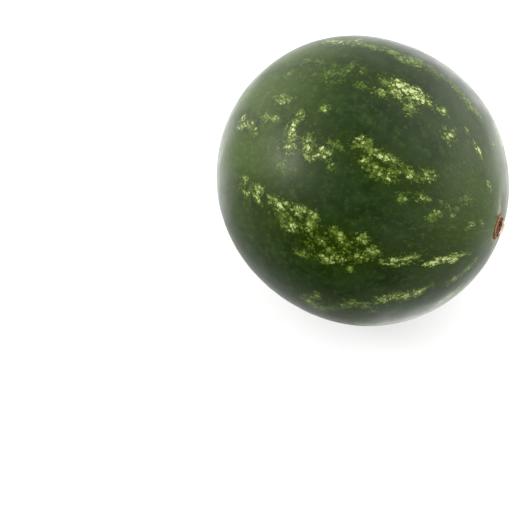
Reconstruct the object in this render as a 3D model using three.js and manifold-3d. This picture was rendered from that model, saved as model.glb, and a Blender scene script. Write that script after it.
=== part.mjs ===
// A round striped watermelon, picked whole. It lies on a small flat spot, as it lay while it grew.
// Millimetres, +Z up. The origin is the centre of the resting spot, and +X points to the stem end.
// Two pieces: the fruit, which grew as one solid, and the dried, corky stump of its vine stem.
import * as THREE from 'three';
import { mergeVertices } from 'three/addons/utils/BufferGeometryUtils.js';
import Module from 'manifold-3d';

// --- Driving dimensions: millimetres, and degrees for the angles ---------------------------------------

const FRUIT_LENGTH = 224.6; // along the long axis
const FRUIT_WIDTH = 212.2; // across the long axis, level with the ground
const FRUIT_HEIGHT = 210.0; // as grown, before the resting spot flattens it
const LONG_AXIS_TURN = 22.7; // the long axis lies level, swung this far from +X toward -Y
const STEM_RISE = 6.4; // the stem end looks this far above the horizontal
const REST_SPOT_RADIUS = 22; // the small flat spot underneath

const LOBE_COUNT = 12; // faint swellings from stem to blossom end, one under each stripe
const LOBE_HEIGHT = 0.12;
const SWELL_HEIGHT = 0.5; // broad uneven growth: low swells that follow each other from end to end
const SWELL_WAVES = 4.7; // swells in a full turn over both ends
const SWELL_START = 104;
const SWELL_SLANT = 52; // how far the swells shift from one side of the fruit to the other

const STEM_HOLLOW_RADIUS = 42; // the skin sinks gently toward the stem
const STEM_HOLLOW_DEPTH = 0.3;
const STEM_SEAT_DEPTH = 0.9; // and it is flat under the stump, this far below its full round
const BLOSSOM_HOLLOW_RADIUS = 15; // shallow dimple where the flower was
const BLOSSOM_HOLLOW_DEPTH = 1.6;
const BLOSSOM_SCAR_RADIUS = 4.2; // low corky button in the middle of the dimple
const BLOSSOM_SCAR_HEIGHT = 1.0;
const SEAT_REACH = 52; // a hollow shapes the skin down to this far below its own end of the fruit

const STUMP_RADIUS = 8.7; // outer edge of the corky collar, on average
const STUMP_EDGE_THICKNESS = 0.4;
const STUMP_RIM_HEIGHT = 1.9; // crest of the collar above the flat of the skin
const STUMP_CORE_HEIGHT = 1.1; // broken wood inside the collar
const STUMP_ROOT_RADIUS = 6.2; // the woody root that holds the stump in the fruit
const STUMP_ROOT_DEPTH = 4.5;
const STUMP_POINT_LENGTH = 1.9; // the collar runs out to a point on its upper side
const STUMP_POINT_SHARPNESS = 12;
const STUMP_SPLINTER_HEIGHT = 1.3; // the last torn splinter of stem stands on the collar
const STUMP_SPLINTER_SIDE = 135; // from the collar's point, turned toward +Y
const STUMP_SPLINTER_SHARPNESS = 4;
const SKIN_GAP = 0.3; // between the stump and the fruit

// Unevenness of the collar. Each wave is [waves in a full turn, size, start in degrees].
const COLLAR_WAVES = [[2, 0.05, 35], [5, 0.035, 0], [9, 0.025, 90]]; // sizes are shares of the radius
const CREST_WAVES = [[3, 0.25, 60], [7, 0.15, 0]]; // sizes are heights

const FRUIT_SIDES = 80; // facets round the fruit
const FRUIT_RINGS = 46; // facets from stem to blossom end
const RING_CROWDING = 0.55; // 0 spaces the rings evenly, more draws them to both ends
const STUMP_SIDES = 44;
const SOCKET_SIDES = 36;

const RIND_COLOUR = 0x2f4f24;
const CORK_COLOUR = 0x8a6444;

// --- Frame: the fruit is shaped round its own centre and then set down on its resting spot -----------------

const radians = THREE.MathUtils.degToRad;
const up = new THREE.Vector3(0, 0, 1);
const semiAxes = new THREE.Vector3(FRUIT_LENGTH / 2, FRUIT_WIDTH / 2, FRUIT_HEIGHT / 2);
const longAxis = new THREE.Vector3(1, 0, 0).applyAxisAngle(up, -radians(LONG_AXIS_TURN));
const crossAxis = new THREE.Vector3().crossVectors(up, longAxis);
const centreHeight = semiAxes.z * Math.sqrt(1 - REST_SPOT_RADIUS ** 2 / (semiAxes.x * semiAxes.y));

const stemAxis = new THREE.Vector3(Math.cos(radians(STEM_RISE)), 0, Math.sin(radians(STEM_RISE)));
const stemSide = new THREE.Vector3(0, -1, 0);
const stemTop = new THREE.Vector3().crossVectors(stemAxis, stemSide).negate();

// The vector's components along the fruit's long, cross and vertical axes, each over its semi-axis.
function scaledToUnitSphere(vector) {
  return new THREE.Vector3(vector.dot(longAxis), vector.dot(crossAxis), vector.z).divide(semiAxes);
}

function ovalRadius(direction) {
  return 1 / scaledToUnitSphere(direction).length();
}

function ovalNormal(point) {
  const scaled = scaledToUnitSphere(point).divide(semiAxes);
  return new THREE.Vector3()
    .addScaledVector(longAxis, scaled.x)
    .addScaledVector(crossAxis, scaled.y)
    .addScaledVector(up, scaled.z)
    .normalize();
}

// A place on the skin, with the outward normal there and two directions across it.
function skinSeat(direction) {
  const point = direction.clone().multiplyScalar(ovalRadius(direction));
  const normal = ovalNormal(point);
  const across = new THREE.Vector3().crossVectors(up, normal).normalize();
  const upward = new THREE.Vector3().crossVectors(normal, across);
  return { point, normal, across, upward };
}

const stemSeat = skinSeat(stemAxis);
const blossomSeat = skinSeat(stemAxis.clone().negate());

// --- Fruit ---------------------------------------------------------------------------------------------

// How far a point stands above a seat's tangent plane, and how far it is from the seat's axis.
function placeOverSeat(point, seat) {
  const offset = point.clone().sub(seat.point);
  const height = offset.dot(seat.normal);
  const reach = offset.addScaledVector(seat.normal, -height).length();
  return { height, reach };
}

// 1 on the axis, falling smoothly to 0 at the radius.
function bump(reach, radius) {
  return 1 - THREE.MathUtils.smoothstep(reach, 0, radius);
}

function fruitPoint(polar, around) {
  const direction = stemAxis
    .clone()
    .multiplyScalar(Math.cos(polar))
    .addScaledVector(stemTop, Math.sin(polar) * Math.cos(around))
    .addScaledVector(stemSide, Math.sin(polar) * Math.sin(around));
  const lobe = LOBE_HEIGHT * Math.sin(polar) ** 2 * Math.cos(LOBE_COUNT * around);
  const swellPhase = SWELL_WAVES * polar + radians(SWELL_START - SWELL_SLANT * Math.sin(around));
  const swell = SWELL_HEIGHT * Math.sin(polar) * Math.cos(swellPhase);
  const point = direction.multiplyScalar(ovalRadius(direction) + lobe + swell);

  const overStem = placeOverSeat(point, stemSeat);
  if (overStem.height > -SEAT_REACH) {
    const sunken = overStem.height - STEM_HOLLOW_DEPTH * bump(overStem.reach, STEM_HOLLOW_RADIUS);
    const seated = Math.min(sunken, -STEM_SEAT_DEPTH);
    point.addScaledVector(stemSeat.normal, seated - overStem.height);
  }

  const overBlossom = placeOverSeat(point, blossomSeat);
  if (overBlossom.height > -SEAT_REACH) {
    const hollow = BLOSSOM_HOLLOW_DEPTH * bump(overBlossom.reach, BLOSSOM_HOLLOW_RADIUS);
    const scar = BLOSSOM_SCAR_HEIGHT * bump(overBlossom.reach, BLOSSOM_SCAR_RADIUS);
    point.addScaledVector(blossomSeat.normal, scar - hollow);
  }
  return point;
}

function fruitGeometry() {
  const geometry = new THREE.SphereGeometry(1, FRUIT_SIDES, FRUIT_RINGS);
  const position = geometry.attributes.position;
  const spot = new THREE.Vector3();
  for (let i = 0; i < position.count; i += 1) {
    spot.fromBufferAttribute(position, i);
    const evenPolar = Math.acos(THREE.MathUtils.clamp(spot.y, -1, 1));
    const polar = evenPolar - (RING_CROWDING / 2) * Math.sin(2 * evenPolar);
    const around = Math.atan2(-spot.z, spot.x);
    const point = fruitPoint(polar, around);
    position.setXYZ(i, point.x, point.y, point.z);
  }
  return geometry;
}

// --- Corky stump of the stem: drawn with its axis along +Z and the skin at height 0 -----------------------

const sectionOfStump = [
  // [distance from the axis as a share of STUMP_RADIUS, height above the skin]
  [0, -STUMP_ROOT_DEPTH],
  [STUMP_ROOT_RADIUS / STUMP_RADIUS, -STUMP_ROOT_DEPTH],
  [STUMP_ROOT_RADIUS / STUMP_RADIUS, SKIN_GAP],
  [0.97, SKIN_GAP],
  [1, SKIN_GAP + STUMP_EDGE_THICKNESS],
  [0.98, STUMP_RIM_HEIGHT * 0.75],
  [0.94, STUMP_RIM_HEIGHT],
  [0.87, STUMP_RIM_HEIGHT * 0.9],
  [0.8, STUMP_CORE_HEIGHT * 0.8],
  [0.5, STUMP_CORE_HEIGHT],
  [0.25, STUMP_CORE_HEIGHT * 0.8],
  [0, STUMP_CORE_HEIGHT * 0.9],
];

function addWaves(waves, around) {
  const heights = waves.map(([count, size, start]) => size * Math.sin(count * around + radians(start)));
  return heights.reduce((sum, height) => sum + height);
}

// Ragged outline of the collar: an uneven ring that runs out to a point on its upper side, where around is 0.
function collarStretch(around) {
  const pointed = Math.max(0, Math.cos(around)) ** STUMP_POINT_SHARPNESS;
  return 1 + addWaves(COLLAR_WAVES, around) + (STUMP_POINT_LENGTH / STUMP_RADIUS) * pointed;
}

// Crest of the collar: uneven, and highest at the splinter on the far side.
function crestRise(around) {
  const fromSplinter = around - radians(STUMP_SPLINTER_SIDE);
  const splinter = Math.max(0, Math.cos(fromSplinter)) ** STUMP_SPLINTER_SHARPNESS;
  return STUMP_SPLINTER_HEIGHT * splinter + addWaves(CREST_WAVES, around);
}

function stumpGeometry() {
  const section = sectionOfStump.map(([share, height]) => new THREE.Vector2(share * STUMP_RADIUS, height));
  const geometry = new THREE.LatheGeometry(section, STUMP_SIDES).rotateX(Math.PI / 2);
  const position = geometry.attributes.position;
  for (let i = 0; i < position.count; i += 1) {
    const across = position.getX(i);
    const upward = position.getY(i);
    const height = position.getZ(i);
    const around = Math.atan2(across, upward);
    const isCollar = height > 0 && Math.hypot(across, upward) > STUMP_ROOT_RADIUS + SKIN_GAP;
    const stretch = isCollar ? collarStretch(around) : 1;
    const nearCrest = Math.max(0, height - SKIN_GAP) / (STUMP_RIM_HEIGHT - SKIN_GAP);
    position.setXYZ(i, across * stretch, upward * stretch, height + crestRise(around) * nearCrest);
  }
  return geometry;
}

function socketGeometry() {
  const depth = STUMP_ROOT_DEPTH + SKIN_GAP;
  const geometry = new THREE.CylinderGeometry(
    STUMP_ROOT_RADIUS + SKIN_GAP,
    STUMP_ROOT_RADIUS + SKIN_GAP,
    2 * depth,
    SOCKET_SIDES,
  );
  return geometry.rotateX(Math.PI / 2);
}

// --- Solids ------------------------------------------------------------------------------------------------

const wasm = await Module();
wasm.setup();

function toSolid(geometry) {
  const bare = geometry.clone();
  bare.deleteAttribute('normal');
  bare.deleteAttribute('uv');
  const merged = mergeVertices(bare, 1e-3);
  return new wasm.Manifold(
    new wasm.Mesh({
      numProp: 3,
      vertProperties: new Float32Array(merged.attributes.position.array),
      triVerts: new Uint32Array(merged.index.array),
    }),
  );
}

function toGeometry(solid) {
  const { vertProperties, triVerts } = solid.getMesh();
  const geometry = new THREE.BufferGeometry();
  geometry.setAttribute('position', new THREE.BufferAttribute(vertProperties, 3));
  geometry.setIndex(new THREE.BufferAttribute(triVerts, 1));
  geometry.computeVertexNormals();
  return geometry;
}

// The turn and place that stand a piece drawn along +Z on the flattened skin at the stem.
function ontoStemSeat() {
  const { across, upward, normal, point } = stemSeat;
  const flat = point.clone().addScaledVector(normal, -STEM_SEAT_DEPTH);
  return new THREE.Matrix4().makeBasis(across, upward, normal).setPosition(flat);
}

function piece(name, geometry, colour, roughness) {
  const material = new THREE.MeshStandardMaterial({ color: colour, roughness, metalness: 0 });
  const mesh = new THREE.Mesh(geometry, material);
  mesh.name = name;
  return mesh;
}

function makeFruit() {
  const ground = new THREE.BoxGeometry(FRUIT_LENGTH, FRUIT_LENGTH, FRUIT_HEIGHT);
  ground.translate(0, 0, -centreHeight - FRUIT_HEIGHT / 2);
  const socket = socketGeometry().applyMatrix4(ontoStemSeat());
  const solid = toSolid(fruitGeometry()).subtract(toSolid(ground)).subtract(toSolid(socket));
  return piece('watermelon', toGeometry(solid), RIND_COLOUR, 0.35);
}

function makeStump() {
  const geometry = stumpGeometry().applyMatrix4(ontoStemSeat());
  return piece('stem_stump', toGeometry(toSolid(geometry)), CORK_COLOUR, 0.9);
}

const group = new THREE.Group();
group.add(makeFruit(), makeStump());
group.position.z = centreHeight;

export default group;
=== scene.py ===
"""Looks of a round striped watermelon that lies on a pale floor, with its corky stem stump.

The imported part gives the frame. Two finer pieces replace its solids and keep their form: the fruit, and the
stump of its stem. Lengths are in metres and angles in degrees, unless a name says otherwise.
"""

import math

import bpy
import numpy as np
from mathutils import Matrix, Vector, noise


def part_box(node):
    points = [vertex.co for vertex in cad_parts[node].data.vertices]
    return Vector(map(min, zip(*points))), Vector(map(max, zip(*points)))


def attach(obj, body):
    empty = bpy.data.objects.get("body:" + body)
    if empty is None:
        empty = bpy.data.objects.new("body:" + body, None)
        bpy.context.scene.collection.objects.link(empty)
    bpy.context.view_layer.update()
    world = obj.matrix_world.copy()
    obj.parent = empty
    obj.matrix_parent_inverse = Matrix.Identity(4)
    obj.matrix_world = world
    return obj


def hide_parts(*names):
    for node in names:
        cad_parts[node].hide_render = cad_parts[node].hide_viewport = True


MM = 0.001
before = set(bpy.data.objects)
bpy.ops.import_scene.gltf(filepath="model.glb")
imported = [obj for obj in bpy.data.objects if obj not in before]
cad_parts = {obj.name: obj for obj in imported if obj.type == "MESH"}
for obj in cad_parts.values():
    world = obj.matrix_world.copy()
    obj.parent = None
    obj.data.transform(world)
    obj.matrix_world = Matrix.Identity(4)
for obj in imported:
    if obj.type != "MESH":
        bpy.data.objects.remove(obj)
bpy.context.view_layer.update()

# --- The fruit's form, as in the part's source ------------------------------------------------------------

FRUIT_LENGTH = 224.6 * MM
FRUIT_WIDTH = 212.2 * MM
FRUIT_HEIGHT = 210.0 * MM
LONG_AXIS_TURN = 22.7
STEM_RISE = 6.4
REST_SPOT_RADIUS = 22 * MM
LOBE_COUNT = 12
LOBE_HEIGHT = 0.12 * MM
SWELL_HEIGHT = 0.5 * MM
SWELL_WAVES = 4.7
SWELL_START = 104
SWELL_SLANT = 52
STEM_HOLLOW_RADIUS = 42 * MM
STEM_HOLLOW_DEPTH = 0.3 * MM
STEM_SEAT_DEPTH = 0.9 * MM
BLOSSOM_HOLLOW_RADIUS = 15 * MM
BLOSSOM_HOLLOW_DEPTH = 1.6 * MM
BLOSSOM_SCAR_RADIUS = 4.2 * MM
BLOSSOM_SCAR_HEIGHT = 1.0 * MM
SEAT_REACH = 52 * MM
STUMP_RADIUS = 8.7 * MM
STUMP_EDGE_THICKNESS = 0.4 * MM
STUMP_RIM_HEIGHT = 1.9 * MM
STUMP_CORE_HEIGHT = 1.1 * MM
STUMP_ROOT_RADIUS = 6.2 * MM
STUMP_ROOT_DEPTH = 4.5 * MM
STUMP_POINT_LENGTH = 1.9 * MM
STUMP_POINT_SHARPNESS = 12
STUMP_SPLINTER_HEIGHT = 1.3 * MM
STUMP_SPLINTER_SIDE = 135
STUMP_SPLINTER_SHARPNESS = 4
# Waves round the stump as (count, size, start). The collar's sizes are shares of its radius.
COLLAR_WAVES = ((2, 0.05, 35), (5, 0.035, 0), (9, 0.025, 90))
CREST_WAVES = ((3, 0.25 * MM, 60), (7, 0.15 * MM, 0))

# Finer than the source: the mesh, and the slight dents that soften reflections.
SKIN_SIDES = 436
SKIN_RINGS = 226
RING_CROWDING = 0.35
DENT_COUNT = 60
DENT_DEPTH = 0.05 * MM
DENT_WAVELENGTHS = (14 * MM, 45 * MM)
FLOOR_ROUNDING = 0.25 * MM

SEED = 11


def turn(degrees):
    """Cosine and sine of an angle in degrees."""
    return math.cos(math.radians(degrees)), math.sin(math.radians(degrees))


def unit(vector):
    return np.asarray(vector, float) / np.linalg.norm(vector)


UP = np.array([0.0, 0.0, 1.0])
SEMI_AXES = np.array([FRUIT_LENGTH, FRUIT_WIDTH, FRUIT_HEIGHT]) / 2
LONG_AXIS = np.array([turn(LONG_AXIS_TURN)[0], -turn(LONG_AXIS_TURN)[1], 0.0])
OVAL_AXES = np.array([LONG_AXIS, np.cross(UP, LONG_AXIS), UP])
CENTRE_HEIGHT = SEMI_AXES[2] * math.sqrt(1 - REST_SPOT_RADIUS**2 / (SEMI_AXES[0] * SEMI_AXES[1]))
CENTRE = np.array([0.0, 0.0, CENTRE_HEIGHT])
STEM_AXIS = np.array([turn(STEM_RISE)[0], 0.0, turn(STEM_RISE)[1]])
STEM_SIDE = np.array([0.0, -1.0, 0.0])
STEM_TOP = -np.cross(STEM_AXIS, STEM_SIDE)


def oval_radius(directions):
    return 1 / np.linalg.norm(directions @ OVAL_AXES.T / SEMI_AXES, axis=-1)


def oval_normals(points):
    normals = points @ OVAL_AXES.T / SEMI_AXES**2 @ OVAL_AXES
    return normals / np.linalg.norm(normals, axis=-1, keepdims=True)


class Seat:
    """A place on the skin: its point, the outward normal, and two directions across it."""

    def __init__(self, direction):
        self.point = direction * oval_radius(direction)
        self.normal = oval_normals(self.point)
        self.across = unit(np.cross(UP, self.normal))
        self.upward = np.cross(self.normal, self.across)

    def over(self, points):
        """Height over the tangent plane, and distance from the seat's axis."""
        offset = points - self.point
        height = offset @ self.normal
        reach = np.linalg.norm(offset - height[..., None] * self.normal, axis=-1)
        return height, reach


STEM_SEAT = Seat(STEM_AXIS)
BLOSSOM_SEAT = Seat(-STEM_AXIS)


def smoothstep(values, start, end):
    share = np.clip((values - start) / (end - start), 0, 1)
    return share * share * (3 - 2 * share)


def bump(reach, radius):
    return 1 - smoothstep(reach, 0, radius)


def skin_direction(polar, around):
    """Polar is the angle from the stem, around the angle about it: 0 on top, 90 degrees toward -Y."""
    return (
        np.cos(polar)[..., None] * STEM_AXIS
        + (np.sin(polar) * np.cos(around))[..., None] * STEM_TOP
        + (np.sin(polar) * np.sin(around))[..., None] * STEM_SIDE
    )


def dents(directions, rng):
    """Faint unevenness: a sum of plane waves through the fruit."""
    total = np.zeros(directions.shape[:-1])
    for _ in range(DENT_COUNT):
        wavelength = rng.uniform(*DENT_WAVELENGTHS)
        heading = unit(rng.normal(size=3))
        wave = 2 * math.pi * SEMI_AXES.mean() / wavelength
        total += np.cos(wave * (directions @ heading) + rng.uniform(0, 2 * math.pi))
    return total * DENT_DEPTH / math.sqrt(DENT_COUNT / 2)


def skin_points(polar, around, rng):
    """Points of the skin round the fruit's centre, at rest on its flat spot."""
    directions = skin_direction(polar, around)
    lobe = LOBE_HEIGHT * np.sin(polar) ** 2 * np.cos(LOBE_COUNT * around)
    phase = SWELL_WAVES * polar + np.radians(SWELL_START - SWELL_SLANT * np.sin(around))
    swell = SWELL_HEIGHT * np.sin(polar) * np.cos(phase)
    radius = oval_radius(directions) + lobe + swell + dents(directions, rng)
    points = directions * radius[..., None]

    height, reach = STEM_SEAT.over(points)
    sunken = height - STEM_HOLLOW_DEPTH * bump(reach, STEM_HOLLOW_RADIUS)
    change = np.where(height > -SEAT_REACH, np.minimum(sunken, -STEM_SEAT_DEPTH) - height, 0)
    points += change[..., None] * STEM_SEAT.normal

    height, reach = BLOSSOM_SEAT.over(points)
    hollow = BLOSSOM_HOLLOW_DEPTH * bump(reach, BLOSSOM_HOLLOW_RADIUS)
    scar = BLOSSOM_SCAR_HEIGHT * bump(reach, BLOSSOM_SCAR_RADIUS)
    change = np.where(height > -SEAT_REACH, scar - hollow, 0)
    return points + change[..., None] * BLOSSOM_SEAT.normal


# --- Rows of pale flecks ----------------------------------------------------------------------------------
# Each stripe runs from the stem to the blossom end, and is named by the angle of its middle about the stem
# axis. Its clusters of flecks are (angle from the stem, shift around from the stripe's middle, half length,
# half width, strength), in degrees but for the strength, which is about 1 where the flecks are bright.

STRIPES_SEEN = {
    -25: (
        (108, 4, 7, 3, 0.8), (101, 1, 4, 3, 0.6), (92, 3, 3, 3, 0.65), (85, 2, 3, 2, 0.7),
        (76, 3, 3, 2.5, 0.9), (76, -1, 3, 2.5, 0.7), (79, 5, 3, 2, 0.6), (68, -1, 3, 3, 0.65),
        (56, -3, 5, 2.5, 0.75), (50, -3, 4, 2.5, 0.7), (44, -6, 2.5, 2.5, 0.75), (32, -7.5, 2, 4, 0.7),
    ),
    0: (
        (113, -3.5, 2, 2, 0.6), (108, -3, 2, 1.5, 0.5), (117, 6, 2, 3, 0.45), (100, 3, 5, 5, 0.4),
        (94, -2, 1.5, 3, 0.6), (88, -3, 1.5, 2.5, 0.6), (86, 4, 2, 2, 0.55), (79, -2.5, 1.5, 1.5, 0.7),
        (72.5, -3.5, 3.5, 2.5, 1.35), (65, -5, 3.5, 2.5, 1.35), (77, 4, 2.5, 1.5, 1.0),
        (71, 1.5, 3, 1.5, 0.9), (64.5, 3.5, 2, 3, 0.95), (60, -4, 2.5, 1.5, 0.8), (54, -7, 2, 2, 1.0),
        (46.5, 2.5, 2, 3.5, 1.0), (42.5, -10, 2, 1.5, 0.7), (34, -9, 3, 2, 1.15),
        (20.5, -1.5, 2, 4, 0.9),
    ),
    30: (
        (131, 0, 2, 2, 0.95), (131, 5, 2, 1.5, 0.95), (125, 3, 3, 1.5, 0.9), (120, 6, 2, 1.5, 0.85),
        (117, -2, 2, 1.5, 0.8), (112, -2, 2, 1.5, 0.7), (113, -11, 4, 2, 0.9), (106, 9, 1.5, 1.5, 0.6),
        (101.5, -5, 1.5, 2.5, 0.95), (102.5, 1, 1.8, 2.5, 1.1), (100, 6.5, 1.8, 3, 1.05),
        (101, 15, 5, 2, 0.55), (93, -11, 1.8, 1.8, 0.85), (93, 4, 2, 2.5, 0.9),
        (90.5, 8.5, 2, 1.8, 1.0), (86, 5.5, 2, 2, 1.35), (81.5, 9, 1.5, 2, 0.9), (82.5, 1, 2, 2, 0.6),
        (74, -3.5, 2.5, 2, 0.95), (66, -1.5, 3.5, 1.8, 0.95), (61, -1.5, 2, 1.5, 0.9),
        (53.5, 1, 3.5, 2, 1.0), (46.5, -3, 2, 2.5, 1.0), (70.5, 3, 1.8, 1.8, 0.95),
        (65, 5.5, 2.5, 1.8, 0.9), (60, 6, 2.5, 1.8, 0.95), (53.5, 12.5, 2, 2.2, 0.85),
        (46, 9.5, 3, 2.2, 1.0), (38.5, 15, 1.8, 2.5, 0.85), (40.5, 18.5, 2, 2, 0.85),
        (39, 7.5, 1.5, 1.5, 0.7), (34.5, 9, 2, 1.5, 0.7), (31, 8, 1.5, 1.5, 0.65),
        (31.5, 13, 1.5, 1.5, 0.65), (28, -2, 2, 4, 0.6), (21.5, 16.5, 1.8, 2.5, 1.05),
        (23.5, 21, 1.5, 2, 0.8), (15, 15, 1.5, 3, 0.85), (16, 10, 1.5, 3, 0.6),
    ),
    66: (
        (118, -9.5, 2, 2, 0.7), (116, -4.5, 3, 1.8, 0.85), (113, -8.5, 2, 2, 0.8),
        (108, -8.5, 1.8, 2, 0.85), (108, -4.5, 1.8, 1.8, 0.85), (98, -7, 3.5, 2.2, 1.0),
        (95, -3, 4, 3, 0.6), (88.5, -7.5, 2, 2, 1.1), (82.5, -7, 2, 2.5, 0.8), (91, 0, 3.5, 1.6, 1.1),
        (83.5, -2.5, 2, 2, 0.8), (78.5, 1, 2.5, 1.5, 0.85), (73.5, -3.5, 2.2, 2, 0.9),
        (85, 9.5, 3, 1.5, 0.85), (83, 5.5, 2, 1.5, 0.65), (77, 9, 2, 1.5, 0.7),
        (72.5, 8, 3.5, 1.8, 1.15), (73, 5, 2, 1.5, 0.8), (70, 0.5, 2, 2, 0.85), (63.5, -3, 2, 2, 1.15),
        (64, 5.5, 2.5, 2, 0.95), (66.5, 11.5, 1.2, 1.5, 0.8), (58.5, 2, 2, 2, 1.1),
        (50, 7, 4.5, 1.8, 1.1), (44, 4, 2.5, 1.6, 0.9), (36.5, 10, 3, 2, 1.15), (30, 9, 3.5, 2.5, 1.3),
        (27.5, 13, 2, 3, 1.15), (23, 11, 2, 2, 0.85), (20, 15, 2, 2, 0.65),
    ),
    97: (
        (84, 4, 2, 3, 0.8), (84, 9, 2, 2, 0.6), (80, -0.5, 2, 2.5, 0.8), (79, 8, 2.5, 2, 0.7),
        (74, 6, 2.5, 2, 0.65), (68.5, 2.5, 2.5, 2, 0.75), (66.5, -0.5, 2, 1.5, 0.7),
        (61.5, 2, 2, 2, 0.75), (59, 8, 2, 1.5, 0.6), (55, -0.5, 2.5, 2.5, 0.95), (50.5, -3, 3, 2, 0.95),
        (47, 0, 2, 2, 0.7), (43, -1, 2.8, 2.5, 1.0), (38, -2, 2, 2, 0.7), (27.5, 5.5, 2.5, 3, 0.85),
        (21.5, 6, 3, 3, 0.85), (17, 3, 2.5, 4, 0.7), (30, 25, 2, 4, 0.5),
    ),
}
STRIPES_HIDDEN = (125, 155, 185, 215, 245, 275, 305)
HIDDEN_CLUSTERS = 15
HIDDEN_FROM_STEM = (22, 150)
HIDDEN_JITTER = 3
HIDDEN_DRIFT = 4
HIDDEN_HALF_SIZE = (2.5, 6)
HIDDEN_STRENGTH = (0.35, 1.1)

CLUSTER_SPREAD = 1.22
COVER_RATE = 1.6
SCATTER = 0.15  # single flecks between the clusters
SCATTER_WIDTH = 9
SCATTER_PALENESS = 0.5
SCATTER_START = (6, 30)  # angles from the stem between which the single flecks and the wash set in
SCATTER_END = (140, 172)
NO_FLECKS = 1e-6
WASH_WIDTH = 8.5
WASH_STRENGTH = 0.55
WASH_SPREAD = 2.1
WASH_OF_CLUSTER = 0.5
WASH_LIMIT = 1.2


def hidden_stripe(rng):
    """Clusters for a stripe that is on the far side, drawn at random in the same manner."""
    clusters = []
    for from_stem in np.linspace(*HIDDEN_FROM_STEM, HIDDEN_CLUSTERS):
        clusters.append((
            from_stem + rng.uniform(-HIDDEN_JITTER, HIDDEN_JITTER),
            rng.normal(0, HIDDEN_DRIFT),
            rng.uniform(*HIDDEN_HALF_SIZE),
            rng.uniform(*HIDDEN_HALF_SIZE),
            rng.uniform(*HIDDEN_STRENGTH),
        ))
    return clusters


def all_stripes(rng):
    stripes = dict(STRIPES_SEEN)
    for middle in STRIPES_HIDDEN:
        stripes[middle] = hidden_stripe(rng)
    return stripes


def around_gap(around, middle):
    """Signed angle from a stripe's middle, in degrees."""
    return (np.degrees(around) - middle + 180) % 360 - 180


def skin_fields(polar, around, rng):
    """How closely the flecks lie, how pale they are, and how strong the lighter green wash is."""
    flecks = np.full(polar.shape, NO_FLECKS)
    paleness = np.zeros(polar.shape)
    wash = np.zeros(polar.shape)
    from_stem = np.degrees(polar)
    for middle, clusters in all_stripes(rng).items():
        gap = around_gap(around, middle)
        fade = smoothstep(from_stem, *SCATTER_START) * (1 - smoothstep(from_stem, *SCATTER_END))
        wash = np.maximum(wash, WASH_STRENGTH * np.exp(-((gap / WASH_WIDTH) ** 2)) * fade)
        scatter = SCATTER * np.exp(-((gap / SCATTER_WIDTH) ** 2)) * fade
        flecks += scatter
        paleness += scatter * SCATTER_PALENESS
        for centre, shift, half_length, half_width, strength in clusters:
            squared = ((from_stem - centre) / half_length) ** 2 + ((gap - shift) / half_width) ** 2
            squared /= CLUSTER_SPREAD**2
            flecks += strength * np.exp(-squared)
            paleness += strength**2 * np.exp(-squared)
            wash += WASH_OF_CLUSTER * strength * np.exp(-squared / WASH_SPREAD**2)
    return 1 - np.exp(-COVER_RATE * flecks), paleness / flecks, np.clip(wash, 0, WASH_LIMIT)


# --- Marks of the skin ------------------------------------------------------------------------------------

# Painted light and shade on the ground colour: painted shade makes it darkest round the waist and low down,
# and painted light makes it lighter toward both ends.
PAINTED_SHADE_BAND = 68
PAINTED_SHADE_BAND_EDGE = (12, 60)
PAINTED_LIGHT_HEIGHTS = (-30 * MM, 75 * MM)

OLIVE_REACH = (9 * MM, 15 * MM)  # olive colour on the skin round the stump
OLIVE_EVENNESS = 0.35  # the rest lies on the stump's -Y side
STREAK_NEAR = (7 * MM, 10 * MM)  # pale streaks that run out from the stem
STREAK_FAR = (14 * MM, 34 * MM)
TAIL_WIDTH = 3 * MM  # tan tails of the stump, up and down the skin
TAIL_LEAN = 0.7
TAIL_NEAR = (7 * MM, 9 * MM)
TAIL_FAR = (12 * MM, 34 * MM)
GROUND_SPOT_REACH = (30 * MM, 66 * MM)  # pale patch where the fruit lay
SCAR_REACH = (2.5 * MM, 6.5 * MM)


def painted_light_at_ends(polar, heights):
    """How much painted light lightens the ground colour: heights are over the fruit's centre."""
    toward_ends = smoothstep(np.abs(np.degrees(polar) - PAINTED_SHADE_BAND), *PAINTED_SHADE_BAND_EDGE)
    return toward_ends * smoothstep(heights, *PAINTED_LIGHT_HEIGHTS)


def mark_fields(points):
    """Marks at the stem, underneath and at the blossom end: how strong each is, from 0 to 1."""
    reach = STEM_SEAT.over(points)[1]
    offset = points - STEM_SEAT.point
    sideways, upward = offset @ STEM_SIDE, offset @ STEM_TOP
    side = sideways / np.maximum(reach, MM)
    near_stem = points @ STEM_AXIS > 0
    olive_round_stump = (1 - smoothstep(reach, *OLIVE_REACH)) * (OLIVE_EVENNESS + (1 - OLIVE_EVENNESS) * (1 + side) / 2)
    streaks = smoothstep(reach, *STREAK_NEAR) * (1 - smoothstep(reach, *STREAK_FAR))
    bent = sideways + TAIL_LEAN * (upward - np.sign(upward) * STUMP_RADIUS)
    tails = np.exp(-((bent / TAIL_WIDTH) ** 2))
    tails *= smoothstep(np.abs(upward), *TAIL_NEAR) * (1 - smoothstep(reach, *TAIL_FAR))
    spot = 1 - smoothstep(np.hypot(points[:, 0], points[:, 1]), *GROUND_SPOT_REACH)
    return {
        "olive_round_stump": olive_round_stump * near_stem,
        "streaks": streaks * near_stem,
        "tails": tails * near_stem,
        "ground_spot": spot * (points[:, 2] < 0),
        "scar": (1 - smoothstep(BLOSSOM_SEAT.over(points)[1], *SCAR_REACH)) * ~near_stem,
    }


# --- Meshes -----------------------------------------------------------------------------------------------


def make_mesh(name, points, faces):
    mesh = bpy.data.meshes.new(name)
    mesh.from_pydata([tuple(p) for p in points], [], faces)
    mesh.validate()
    mesh.polygons.foreach_set("use_smooth", [True] * len(mesh.polygons))
    mesh.update()
    piece = bpy.data.objects.new(name, mesh)
    bpy.context.scene.collection.objects.link(piece)
    return piece


def add_field(piece, name, values):
    field = piece.data.attributes.new(name, "FLOAT", "POINT")
    field.data.foreach_set("value", np.asarray(values, np.float32))


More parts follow.
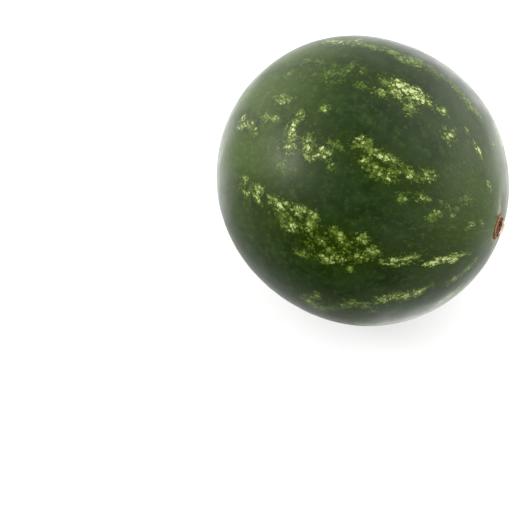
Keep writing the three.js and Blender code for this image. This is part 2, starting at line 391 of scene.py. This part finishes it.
def add_vector_field(piece, name, values):
    field = piece.data.attributes.new(name, "FLOAT_VECTOR", "POINT")
    field.data.foreach_set("vector", np.asarray(values, np.float32).ravel())


def make_fruit():
    rng = np.random.default_rng(SEED)
    even = np.linspace(0, math.pi, SKIN_RINGS + 1)[1:-1]
    rings = even - RING_CROWDING / 2 * np.sin(2 * even)
    sides = np.arange(SKIN_SIDES) * 2 * math.pi / SKIN_SIDES
    polar = np.concatenate([[0.0], np.repeat(rings, SKIN_SIDES), [math.pi]])
    around = np.concatenate([[0.0], np.tile(sides, len(rings)), [0.0]])
    points = skin_points(polar, around, rng) + CENTRE

    # No larger than the solid's box, and flat where it rests, with a slightly rounded edge.
    low, high = (np.array(corner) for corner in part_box("watermelon"))
    room = np.minimum((high - CENTRE)[:2] / points.max(0)[:2], (low - CENTRE)[:2] / points.min(0)[:2])
    points = CENTRE + (points - CENTRE) * min(1, *room)
    points[:, 2] = np.minimum(points[:, 2], high[2])
    lift = points[:, 2]
    points[:, 2] = (lift + np.sqrt(lift**2 + FLOOR_ROUNDING**2)) / 2

    first, last = 0, len(points) - 1
    faces = []
    for side in range(SKIN_SIDES):
        following = (side + 1) % SKIN_SIDES
        faces.append((first, 1 + side, 1 + following))
        for ring in range(len(rings) - 1):
            here = 1 + ring * SKIN_SIDES
            there = here + SKIN_SIDES
            faces.append((here + side, there + side, there + following, here + following))
        bottom = last - SKIN_SIDES
        faces.append((last, bottom + following, bottom + side))
    fruit = make_mesh("fruit_skin", points, faces)

    flecks, paleness, wash = skin_fields(polar, around, rng)
    add_field(fruit, "flecks", flecks)
    add_field(fruit, "paleness", paleness)
    add_field(fruit, "wash", wash)
    # painted light toward the ends and higher up, painted shade round the waist and low down
    add_field(fruit, "painted_end_light", painted_light_at_ends(polar, points[:, 2] - CENTRE_HEIGHT))
    for name, values in mark_fields(points - CENTRE).items():
        add_field(fruit, name, values)
    grain = np.stack([polar, np.cos(around), np.sin(around)], -1) * SEMI_AXES[1]
    add_vector_field(fruit, "grain", grain)
    return fruit


# --- Stump of the stem ------------------------------------------------------------------------------------

STUMP_SIDES = 260
STUMP_STEPS = 110
STUMP_SINK = 0.4 * MM  # no gap shows under the collar

# Distance from the axis as a share of STUMP_RADIUS, height above the skin, and how rough the wood is there.
STUMP_SECTION = (
    (0.00, 0.9 * STUMP_CORE_HEIGHT, 1.0),
    (0.25, 0.8 * STUMP_CORE_HEIGHT, 1.0),
    (0.50, 1.0 * STUMP_CORE_HEIGHT, 1.0),
    (0.80, 0.8 * STUMP_CORE_HEIGHT, 1.0),
    (0.87, 0.9 * STUMP_RIM_HEIGHT, 0.7),
    (0.94, 1.0 * STUMP_RIM_HEIGHT, 0.4),
    (0.98, 0.75 * STUMP_RIM_HEIGHT, 0.3),
    (1.00, STUMP_EDGE_THICKNESS, 0.1),
    (0.99, 0.0, 0.0),
    (STUMP_ROOT_RADIUS / STUMP_RADIUS, 0.0, 0.0),
    (STUMP_ROOT_RADIUS / STUMP_RADIUS, -STUMP_ROOT_DEPTH, 0.0),
    (0.02, -STUMP_ROOT_DEPTH, 0.0),
)
COLLAR_BLEND = (0.74, 0.87)  # shares of the radius between which the collar's outline sets in
CREST_BLEND = (0.5, 0.8)  # and the rise of its crest
CRACK_DEPTH = 0.05  # as a share of the radius
CRACK_WIDTH = 0.25  # a crack is where the noise is this close to 0
CRACK_FINENESS = 2.5
CRACK_PATH_RADIUS = 3  # the collar's way through the noise
CRACK_PATH_HEIGHT = 0.5
WOOD_LUMP = 1.6 * MM
WOOD_ROUGHNESS = 0.55 * MM
RIDGE_SHARPNESS = 2.2
RIDGE_SHARE = 0.7
RIDGE_SINK = 0.6
FIBRE_SHARE = 0.5
FIBRE_FINENESS = 2.7
TORN_EDGE = (0.80, 0.92)  # shares of the radius between which the torn wood turns to cork
TORN_HOLLOWS = 0.6
CREAM_REACH = (25, 55)  # the splinter's cream wood: degrees to either side, and its ring
CREAM_RING = (0.79, 0.95)
FOOT_EDGE = (0.9, 0.97)  # the collar's outer foot takes the same olive: shares of the radius
FOOT_HEIGHT = (0.6, 0.95)  # and shares of the rim's height


def add_waves(waves, around):
    return sum(size * math.sin(count * around + math.radians(start)) for count, size, start in waves)


def collar_stretch(around):
    """The collar's outline, as a share of the stump's radius: one point, and fine cracks."""
    pointed = max(0, math.cos(around)) ** STUMP_POINT_SHARPNESS
    across, upward = CRACK_PATH_RADIUS * math.cos(around), CRACK_PATH_RADIUS * math.sin(around)
    crack = abs(noise.noise(Vector((across, upward, CRACK_PATH_HEIGHT)) * CRACK_FINENESS))
    ragged = CRACK_DEPTH * (1 - crack / CRACK_WIDTH) if crack < CRACK_WIDTH else 0
    return 1 + add_waves(COLLAR_WAVES, around) + STUMP_POINT_LENGTH / STUMP_RADIUS * pointed - ragged


def crest_rise(around):
    splinter = max(0, math.cos(around - math.radians(STUMP_SPLINTER_SIDE))) ** STUMP_SPLINTER_SHARPNESS
    return STUMP_SPLINTER_HEIGHT * splinter + add_waves(CREST_WAVES, around)


def wood_relief(across, upward):
    """Torn fibres: sharp ridges with deeper hollows between them, as a share of WOOD_ROUGHNESS."""
    spot = Vector((across, upward, 0)) / WOOD_LUMP
    ridge = 1 - RIDGE_SHARPNESS * abs(noise.noise(spot))
    return RIDGE_SHARE * ridge - RIDGE_SINK + FIBRE_SHARE * noise.noise(spot * FIBRE_FINENESS)


def stump_profile():
    """Even steps along the section, from the middle of the top round to the foot of the root."""
    section = np.array(STUMP_SECTION)
    run = np.hypot(np.diff(section[:, 0]) * STUMP_RADIUS, np.diff(section[:, 1]))
    along = np.concatenate([[0], np.cumsum(run)])
    steps = np.linspace(0, along[-1], STUMP_STEPS)
    return np.stack([np.interp(steps, along, section[:, column]) for column in range(3)], -1)


def stump_looks(share, height, around, relief):
    """How torn the wood is, how creamy, and how much olive it takes at the foot of the collar."""
    torn = (1 - smoothstep(share, *TORN_EDGE)) * (height > 0) + TORN_HOLLOWS * max(0, -relief / MM)
    from_splinter = abs(around_gap(around, STUMP_SPLINTER_SIDE))
    in_ring = CREAM_RING[0] < share < CREAM_RING[1] and height > 0
    cream = (1 - smoothstep(from_splinter, *CREAM_REACH)) * in_ring
    foot = smoothstep(share, *FOOT_EDGE) * (1 - smoothstep(height / STUMP_RIM_HEIGHT, *FOOT_HEIGHT))
    return torn, cream, foot * (height >= 0)


def make_stump():
    flat = STEM_SEAT.point - (STEM_SEAT_DEPTH + STUMP_SINK) * STEM_SEAT.normal + CENTRE
    points, looks = [], []
    for share, height, rough in stump_profile():
        for side in range(STUMP_SIDES):
            around = side * 2 * math.pi / STUMP_SIDES
            stretch = collar_stretch(around) if height >= 0 else 1
            radius = share * STUMP_RADIUS * (1 + (stretch - 1) * smoothstep(share, *COLLAR_BLEND))
            across, upward = radius * math.sin(around), radius * math.cos(around)
            relief = rough * WOOD_ROUGHNESS * wood_relief(across, upward)
            near_crest = max(0, height) / STUMP_RIM_HEIGHT * smoothstep(share, *CREST_BLEND)
            lift = height + crest_rise(around) * near_crest + relief
            under = flat + across * STEM_SEAT.across + upward * STEM_SEAT.upward
            points.append(under + lift * STEM_SEAT.normal)
            looks.append(stump_looks(share, height, around, relief))
    faces = []
    for step in range(STUMP_STEPS - 1):
        for side in range(STUMP_SIDES):
            following = (side + 1) % STUMP_SIDES
            here, there = step * STUMP_SIDES, (step + 1) * STUMP_SIDES
            faces.append((here + following, here + side, there + side, there + following))
    faces.append(tuple((STUMP_STEPS - 1) * STUMP_SIDES + side for side in range(STUMP_SIDES)))
    stump = make_mesh("stump_wood", points, faces)
    for name, values in zip(("torn", "cream", "foot"), zip(*looks)):
        add_field(stump, name, values)
    return stump


fruit = make_fruit()
stump = make_stump()
for piece, node, slot in ((fruit, "watermelon", "rind"), (stump, "stem_stump", "cork")):
    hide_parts(node)
    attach(piece, "root")

# --- Materials --------------------------------------------------------------------------------------------


# Noise lies round its middle, and ramps between these values spread it out.
NOISE_MIDDLE = 0.5
NARROW = (0.35, 0.65)
WIDE = (0.3, 0.7)


class Nodes:
    """Short calls for a material's nodes. Inputs may be numbers, colours or other nodes' outputs."""

    def __init__(self, owner, shader="Principled BSDF"):
        self.owner = owner
        owner.use_nodes = True
        self.tree = owner.node_tree
        self.shader = self.tree.nodes[shader]

    def put(self, socket, value):
        if isinstance(value, bpy.types.NodeSocket):
            self.tree.links.new(value, socket)
        else:
            socket.default_value = value

    def field(self, name, output="Fac"):
        node = self.tree.nodes.new("ShaderNodeAttribute")
        node.attribute_name = name
        return node.outputs[output]

    def math(self, operation, first, second, clamp=False):
        node = self.tree.nodes.new("ShaderNodeMath")
        node.operation = operation
        node.use_clamp = clamp
        self.put(node.inputs[0], first)
        self.put(node.inputs[1], second)
        return node.outputs[0]

    def ramp(self, value, start, end, low=0.0, high=1.0):
        """Rises smoothly from low to high as value goes from start to end."""
        node = self.tree.nodes.new("ShaderNodeMapRange")
        node.interpolation_type = "SMOOTHSTEP"
        for socket, given in zip(node.inputs, (value, start, end, low, high)):
            self.put(socket, given)
        return node.outputs[0]

    def noise(self, vector, scale, detail=2.0, roughness=0.5):
        node = self.tree.nodes.new("ShaderNodeTexNoise")
        self.put(node.inputs["Vector"], vector)
        node.inputs["Scale"].default_value = scale
        node.inputs["Detail"].default_value = detail
        node.inputs["Roughness"].default_value = roughness
        return node.outputs["Fac"]

    def vector_math(self, operation, first, second=(0, 0, 0)):
        node = self.tree.nodes.new("ShaderNodeVectorMath")
        node.operation = operation
        self.put(node.inputs[0], first)
        self.put(node.inputs[1], second)
        return node.outputs["Value" if operation in ("LENGTH", "DOT_PRODUCT") else "Vector"]

    def warped(self, vector, scale, reach):
        """The vector, pushed about by noise: at most half of reach each way."""
        node = self.tree.nodes.new("ShaderNodeTexNoise")
        self.put(node.inputs["Vector"], vector)
        node.inputs["Scale"].default_value = scale
        node.inputs["Detail"].default_value = 2
        push = self.vector_math("SUBTRACT", node.outputs["Color"], (NOISE_MIDDLE,) * 3)
        return self.vector_math("ADD", vector, self.vector_math("MULTIPLY", push, (reach, reach, reach)))

    def cells(self, vector, scale):
        """Irregular cells: a random number for each, and the distance from its middle."""
        node = self.tree.nodes.new("ShaderNodeTexVoronoi")
        self.put(node.inputs["Vector"], vector)
        node.inputs["Scale"].default_value = scale
        chance = self.tree.nodes.new("ShaderNodeSeparateColor")
        self.put(chance.inputs["Color"], node.outputs["Color"])
        return chance.outputs["Red"], node.outputs["Distance"]

    def place(self, output="Object"):
        node = self.tree.nodes.new("ShaderNodeTexCoord")
        return node.outputs[output]

    def seen_directly(self):
        return self.tree.nodes.new("ShaderNodeLightPath").outputs["Is Camera Ray"]

    def along(self, vector, heading):
        return self.vector_math("DOT_PRODUCT", vector, tuple(heading))

    def colour_ramp(self, value, stops):
        node = self.tree.nodes.new("ShaderNodeValToRGB")
        self.put(node.inputs[0], value)
        elements = node.color_ramp.elements
        elements.remove(elements[1])
        elements[0].position, elements[0].color = stops[0]
        for position, shade in stops[1:]:
            elements.new(position).color = shade
        return node.outputs["Color"]

    def mix(self, share, first, second):
        node = self.tree.nodes.new("ShaderNodeMix")
        node.data_type = "RGBA"
        self.put(node.inputs["Factor"], share)
        self.put(node.inputs["A"], first)
        self.put(node.inputs["B"], second)
        return node.outputs["Result"]

    def bumps(self, height, distance, strength):
        node = self.tree.nodes.new("ShaderNodeBump")
        node.inputs["Strength"].default_value = strength
        node.inputs["Distance"].default_value = distance
        self.put(node.inputs["Height"], height)
        return node.outputs["Normal"]

    def paint(self, **sockets):
        for name, value in sockets.items():
            self.put(self.shader.inputs[name.replace("_", " ")], value)
        return self.owner


def colour(red, green, blue):
    """A colour given as 8-bit screen values, turned to the linear values that the shader takes."""
    linear = []
    for value in (red, green, blue):
        share = value / 255
        linear.append(share / 12.92 if share <= 0.04045 else ((share + 0.055) / 1.055) ** 2.4)
    return (*linear, 1.0)


# The ground colour, its mottle, and the wash along the stripes. Noise is given in waves per metre or by the
# size of its grain.
DARK_GREEN = colour(39, 55, 32)
DEEP_GREEN = colour(29, 41, 25)
# Painted light toward the ends and higher up: a lighter green ground, and paler flecks.
PAINTED_LIGHT_GREEN = colour(60, 78, 28)
PAINTED_LIGHT_PALENESS = 0.35
SHADE_WAVES = 45
MOTTLE_GREEN = colour(58, 74, 38)
# painted light: the mottle's lighter green toward the ends and higher up
PAINTED_LIGHT_MOTTLE_GREEN = colour(84, 104, 50)
MOTTLE_SIZE = 5 * MM
MOTTLE_EDGE = (0.45, 0.75)
MOTTLE_SHARE = 0.8
WASH_GREEN = colour(40, 51, 26)
WASH_WAVES = 160
WASH_PATCHES = (0.3, 1.0)

# A fine lace, and the flecks: specks and blots.
LACE_GREEN = colour(75, 91, 40)
LACE_SIZE = 2.2 * MM
LACE_COVER = 0.42
LACE_EDGE = (0.72, 0.86)
LACE_SHARE = 0.6
FLECK_COLOURS = (
    (0.00, colour(55, 73, 33)),
    (0.22, colour(76, 94, 40)),
    (0.48, colour(116, 133, 64)),
    (0.74, colour(180, 190, 132)),
)
BLOT_SIZE = 3.3 * MM
SPECK_SIZE = 2.0 * MM
BLOT_COVER = 0.8
SPECK_COVER = 0.9
BLOT_EDGE = (0.0, 0.12)
CHANCE_WEIGHT = 1.5
MIDDLE_WEIGHT = 0.6
RAGGED_WEIGHT = 1.9
# These go with the size of the blots.
RAGGED_FINENESS = 2.4
WARP_FINENESS = 1.1
WARP_REACH = 1.1

# Marks of the skin, with edges that noise makes uneven.
MARK_WAVES = 260
MARK_UNEVENNESS = 0.3
STUMP_OLIVE = colour(118, 104, 72)
OLIVE_EDGE = (0.32, 0.8)
OLIVE_SHARE = 0.8
STREAK_GREEN = colour(132, 140, 92)
STREAK_WAVES = 75
STREAK_STRETCH = (0.25, 1, 1)
STREAK_EDGE = (0.52, 0.7)
STREAK_SHARE = 0.28
TAIL_TAN = colour(150, 142, 104)
TAIL_SHARES = (0.3, 0.9)
GROUND_YELLOW = colour(196, 182, 104)
GROUND_CREAM = colour(222, 212, 156)
GROUND_SPOT_WAVES = 40
GROUND_SPOT_UNEVENNESS = 0.35
GROUND_SPOT_EDGE = (0.37, 1.05)
SCAR_EDGE = (0.32, 0.7)

# The skin's waxy shine.
SKIN_IOR = 1.4
SKIN_GLINT_TINT = (0.95, 1.0, 0.84, 1.0)
SKIN_ROUGHNESS = (0.34, 0.44)
ROUGHNESS_WAVES = 60
SHEEN_WEIGHT = 0.35
SHEEN_ROUGHNESS = 0.3
PORE_WAVES = 900
PORE_DEPTH = 0.05 * MM
PORE_STRENGTH = 0.6

# The stump: cork outside, torn wood in the hollow, and cream wood at the splinter.
CORK_TAN = colour(140, 114, 96)
CORK_PALE = colour(186, 164, 142)
CORK_WAVES = 600
CORK_PALE_EDGE = (0.35, 0.7)
CORK_ROUGHNESS = 0.85
GRIT_WAVES = 1100
GRIT_DEPTH = 0.15 * MM
GRIT_STRENGTH = 0.7
WOOD_BROWN = colour(112, 72, 50)
WOOD_DARK = colour(50, 28, 20)
WOOD_PINK = colour(150, 112, 96)
WOOD_CREAM = colour(236, 220, 198)
WOOD_WAVES = 380
WOOD_BROWN_EDGE = (0.42, 0.54)
WOOD_PINK_EDGE = (0.56, 0.68)
WOOD_EDGE = (0.15, 0.6)


def fleck_layer(nodes, grain, cover, paleness, size, under):
    """Blots of the skin that stay pale: the closer the flecks lie, the more and the larger the blots."""
    place = nodes.warped(grain, WARP_FINENESS / size, WARP_REACH * size)
    chance, from_middle = nodes.cells(place, 1 / size)
    ragged = nodes.noise(grain, RAGGED_FINENESS / size, detail=4, roughness=0.75)
    ragged = nodes.math("SUBTRACT", ragged, NOISE_MIDDLE)
    level = nodes.math("MULTIPLY", nodes.math("SUBTRACT", cover, chance), CHANCE_WEIGHT)
    level = nodes.math("SUBTRACT", level, nodes.math("MULTIPLY", from_middle, MIDDLE_WEIGHT))
    level = nodes.math("ADD", level, nodes.math("MULTIPLY", ragged, RAGGED_WEIGHT))
    shade = nodes.math("MULTIPLY", level, paleness)
    return nodes.mix(nodes.ramp(level, *BLOT_EDGE), under, nodes.colour_ramp(shade, FLECK_COLOURS))


def rind_material():
    nodes = Nodes(bpy.data.materials.new("rind_skin"))
    place = nodes.place()
    grain = nodes.field("grain", "Vector")
    flecks = nodes.field("flecks")
    # painted light toward the ends and higher up: paler flecks, and below a lighter ground and mottle
    painted_end_light = nodes.field("painted_end_light")
    paleness = nodes.math("ADD", nodes.field("paleness"), nodes.math("MULTIPLY", painted_end_light, PAINTED_LIGHT_PALENESS))
    wash = nodes.field("wash")

    shade = nodes.noise(place, SHADE_WAVES, detail=4, roughness=0.6)
    ground = nodes.mix(nodes.ramp(shade, *NARROW), DEEP_GREEN, DARK_GREEN)
    # painted light: the ground turns lighter green toward the ends and higher up
    ground = nodes.mix(painted_end_light, ground, PAINTED_LIGHT_GREEN)
    mottle = nodes.noise(grain, 1 / MOTTLE_SIZE, detail=4, roughness=0.75)
    lighter = nodes.mix(painted_end_light, MOTTLE_GREEN, PAINTED_LIGHT_MOTTLE_GREEN)
    ground = nodes.mix(nodes.ramp(mottle, *MOTTLE_EDGE, 0, MOTTLE_SHARE), ground, lighter)
    patches = nodes.ramp(nodes.noise(grain, WASH_WAVES, detail=4, roughness=0.65), *NARROW, *WASH_PATCHES)
    skin = nodes.mix(nodes.math("MULTIPLY", wash, patches, clamp=True), ground, WASH_GREEN)

    lace = nodes.noise(grain, 1 / LACE_SIZE, detail=3, roughness=0.6)
    lace = nodes.math("ADD", lace, nodes.math("MULTIPLY", flecks, LACE_COVER))
    skin = nodes.mix(nodes.ramp(lace, *LACE_EDGE, 0, LACE_SHARE), skin, LACE_GREEN)
    for size, share in ((SPECK_SIZE, SPECK_COVER), (BLOT_SIZE, BLOT_COVER)):
        cover = nodes.math("MULTIPLY", flecks, share)
        skin = fleck_layer(nodes, grain, cover, paleness, size, skin)

    blotches = nodes.noise(place, MARK_WAVES, detail=3, roughness=0.6)
    uneven = nodes.ramp(blotches, *WIDE, -MARK_UNEVENNESS, MARK_UNEVENNESS)
    # olive round the stump, strongest on its -Y side
    olive_round_stump = nodes.ramp(nodes.math("ADD", nodes.field("olive_round_stump"), uneven), *OLIVE_EDGE, 0, OLIVE_SHARE)
    skin = nodes.mix(olive_round_stump, skin, STUMP_OLIVE)
    drawn_out = nodes.vector_math("MULTIPLY", grain, STREAK_STRETCH)
    streaks = nodes.noise(drawn_out, STREAK_WAVES, detail=4, roughness=0.6)
    streaks = nodes.ramp(streaks, *STREAK_EDGE, 0, STREAK_SHARE)
    skin = nodes.mix(nodes.math("MULTIPLY", streaks, nodes.field("streaks")), skin, STREAK_GREEN)
    tails = nodes.math("MULTIPLY", nodes.field("tails"), nodes.ramp(blotches, *WIDE, *TAIL_SHARES))
    skin = nodes.mix(tails, skin, TAIL_TAN)
    edge = nodes.noise(place, GROUND_SPOT_WAVES, detail=5, roughness=0.6)
    edge = nodes.ramp(edge, *WIDE, -GROUND_SPOT_UNEVENNESS, GROUND_SPOT_UNEVENNESS)
    spot = nodes.ramp(nodes.math("ADD", nodes.field("ground_spot"), edge), *GROUND_SPOT_EDGE)
    creamy = nodes.mix(nodes.ramp(blotches, *NARROW), GROUND_YELLOW, GROUND_CREAM)
    skin = nodes.mix(spot, skin, creamy)
    scar = nodes.ramp(nodes.math("ADD", nodes.field("scar"), uneven), *SCAR_EDGE)
    skin = nodes.mix(scar, skin, CORK_TAN)

    return nodes.paint(
        Base_Color=skin,
        Roughness=nodes.ramp(nodes.noise(place, ROUGHNESS_WAVES, detail=3), *WIDE, *SKIN_ROUGHNESS),
        Normal=nodes.bumps(nodes.noise(place, PORE_WAVES, detail=2), PORE_DEPTH, PORE_STRENGTH),
        IOR=SKIN_IOR,
        Specular_Tint=SKIN_GLINT_TINT,
        Sheen_Weight=SHEEN_WEIGHT,
        Sheen_Roughness=SHEEN_ROUGHNESS,
    )


def cork_material():
    nodes = Nodes(bpy.data.materials.new("dry_cork"))
    place = nodes.place()
    pale = nodes.ramp(nodes.noise(place, CORK_WAVES, detail=3, roughness=0.6), *CORK_PALE_EDGE)
    cork = nodes.mix(pale, CORK_TAN, CORK_PALE)
    patches = nodes.noise(place, WOOD_WAVES, detail=3, roughness=0.7)
    wood = nodes.mix(nodes.ramp(patches, *WOOD_BROWN_EDGE), WOOD_DARK, WOOD_BROWN)
    wood = nodes.mix(nodes.ramp(patches, *WOOD_PINK_EDGE), wood, WOOD_PINK)
    surface = nodes.mix(nodes.ramp(nodes.field("torn"), *WOOD_EDGE), cork, wood)
    surface = nodes.mix(nodes.field("cream"), surface, WOOD_CREAM)
    # the foot of the collar takes the olive of the skin round the stump
    surface = nodes.mix(nodes.field("foot"), surface, STUMP_OLIVE)
    grit = nodes.noise(place, GRIT_WAVES, detail=3, roughness=0.6)
    return nodes.paint(
        Base_Color=surface,
        Roughness=CORK_ROUGHNESS,
        Normal=nodes.bumps(grit, GRIT_DEPTH, GRIT_STRENGTH),
    )


fruit.data.materials.append(rind_material())
stump.data.materials.append(cork_material())

# --- Stage, light and camera ------------------------------------------------------------------------------

VIEW_AZIMUTH = 24.31
VIEW_ELEVATION = 48.0
VIEW_DISTANCE = 1.0833
CAMERA_HEADING = 30.31
CAMERA_DIP = 51.30
LENS = 100
SENSOR = 36

FLOOR_HALF_WIDTH = 4.0
FLOOR_SHADE = 0.4
FLOOR_SHADE_SEEN = 0.6
FLOOR_GLOW = 0.3
FLOOR_GLOW_SEEN = 0.42
FLOOR_DARK_SIDE = -20  # the floor in front of the fruit gives it no light
FLOOR_DARK_EDGE = (70, 25)
# Three parts of it give more. Each has its azimuth, the degrees to either side where it begins and is full,
# its strength, and the distances from the middle between which it rises and fades.
FLOOR_BRIGHT_SIDES = (
    (-105, 40, 10, 1.2, (0.10, 0.16), (0.30, 0.45)),
    (165, 45, 15, 1.1, (0.15, 0.24), (0.60, 1.20)),
    (70, 42, 18, 1.1, (0.07, 0.09), (0.11, 0.14)),
)

# The light tent: an even base, and soft pools of light as (azimuth, elevation, strength).
TENT_STRENGTH = 0.42
POOL_RADIUS = 38
POOLS = (
    (-120, 5, 0.45), (-90, 5, 0.8), (-60, 5, 0.4), (30, 5, 0.15), (60, 5, 0.55), (90, 5, 0.7),
    (120, 5, 0.9), (150, 5, 0.75), (180, 5, 0.2),
    (-120, 35, 0.3), (-90, 35, 0.4), (-60, 35, 0.6), (-30, 35, 0.45), (0, 35, 0.1), (30, 35, 0.3),
    (120, 35, 0.6), (150, 35, 0.65), (180, 35, 0.1),
    (120, 65, 0.5), (180, 65, 0.4),
)

# Lamps: name, azimuth, elevation, width and height, power, and whether the skin mirrors it.
LAMP_DISTANCE = 1.5
LAMPS = (
    ("left_softbox", -57, 28, (0.42, 0.36), 4.7, True),
    ("overhead_fill", 180, 75, (1.2, 1.2), 4, False),
    ("left_fill", -72, 32, (1.0, 1.0), 2.4, False),
)
BLACK_LEVEL = 0.025
WHITE_LEVEL = 0.85


def direction_to(azimuth, elevation):
    """Unit vector from the fruit toward a viewer or a lamp: azimuth 0 is -Y, 90 is +X."""
    cos_a, sin_a = turn(azimuth)
    cos_e, sin_e = turn(elevation)
    return np.array([sin_a * cos_e, -cos_a * cos_e, sin_e])


def make_camera():
    data = bpy.data.cameras.new("camera")
    data.lens = LENS
    data.sensor_width = SENSOR
    camera = bpy.data.objects.new("camera", data)
    bpy.context.scene.collection.objects.link(camera)
    camera.location = CENTRE + VIEW_DISTANCE * direction_to(VIEW_AZIMUTH, VIEW_ELEVATION)
    camera.rotation_euler = (math.radians(90 - CAMERA_DIP), 0, math.radians(CAMERA_HEADING))
    bpy.context.scene.camera = camera


def make_lamp(name, azimuth, elevation, size, power, mirrored):
    data = bpy.data.lights.new(name, "AREA")
    data.shape = "RECTANGLE"
    data.size, data.size_y = size
    data.energy = power
    lamp = bpy.data.objects.new(name, data)
    bpy.context.scene.collection.objects.link(lamp)
    lamp.visible_glossy = mirrored
    toward = Vector(direction_to(azimuth, elevation))
    lamp.location = Vector(CENTRE) + toward * LAMP_DISTANCE
    lamp.rotation_euler = toward.to_track_quat("Z", "Y").to_euler()


def make_stage():
    half = FLOOR_HALF_WIDTH
    points = [(-half, -half, 0), (half, -half, 0), (half, half, 0), (-half, half, 0)]
    floor = make_mesh("floor", points, [(0, 1, 2, 3)])
    nodes = Nodes(bpy.data.materials.new("pale_floor"))
    outward = nodes.vector_math("NORMALIZE", nodes.place())
    facing = nodes.along(outward, direction_to(FLOOR_DARK_SIDE, 0))
    dark_from, dark_to = (turn(edge)[0] for edge in FLOOR_DARK_EDGE)
    lit = nodes.ramp(facing, dark_from, dark_to, FLOOR_GLOW, 0)
    reach = nodes.vector_math("LENGTH", nodes.place())
    for azimuth, begins, full, glow, near, far in FLOOR_BRIGHT_SIDES:
        facing = nodes.along(outward, direction_to(azimuth, 0))
        bright = nodes.ramp(facing, turn(begins)[0], turn(full)[0], 0, glow)
        ring = nodes.math("MULTIPLY", nodes.ramp(reach, *near), nodes.ramp(reach, *far, 1, 0))
        lit = nodes.math("ADD", lit, nodes.math("MULTIPLY", bright, ring))
    seen = nodes.seen_directly()
    shade, shade_seen = ((value, value, value, 1) for value in (FLOOR_SHADE, FLOOR_SHADE_SEEN))
    floor.data.materials.append(nodes.paint(
        Base_Color=nodes.mix(seen, shade, shade_seen),
        Roughness=1.0,
        Specular_IOR_Level=0.0,
        Emission_Color=(1, 1, 1, 1),
        Emission_Strength=nodes.ramp(seen, 0, 1, lit, FLOOR_GLOW_SEEN),
    ))


def make_tent():
    """A pale tent with soft pools of light, brightest at the sides."""
    world = bpy.data.worlds.new("light_tent")
    bpy.context.scene.world = world
    nodes = Nodes(world, "Background")
    heading = nodes.place("Generated")
    strength = TENT_STRENGTH
    for azimuth, elevation, power in POOLS:
        toward = nodes.along(heading, direction_to(azimuth, elevation))
        strength = nodes.math("ADD", nodes.ramp(toward, turn(POOL_RADIUS)[0], 1, 0, power), strength)
    nodes.paint(Color=(1, 1, 1, 1), Strength=strength)


def set_exposure():
    """Plain view, with the blacks and whites set as in a studio picture."""
    view = bpy.context.scene.view_settings
    view.view_transform = "Standard"
    view.use_curve_mapping = True
    view.curve_mapping.black_level = (BLACK_LEVEL, BLACK_LEVEL, BLACK_LEVEL)
    view.curve_mapping.white_level = (WHITE_LEVEL, WHITE_LEVEL, WHITE_LEVEL)
    view.curve_mapping.update()


make_camera()
make_stage()
make_tent()
for lamp in LAMPS:
    make_lamp(*lamp)
set_exposure()
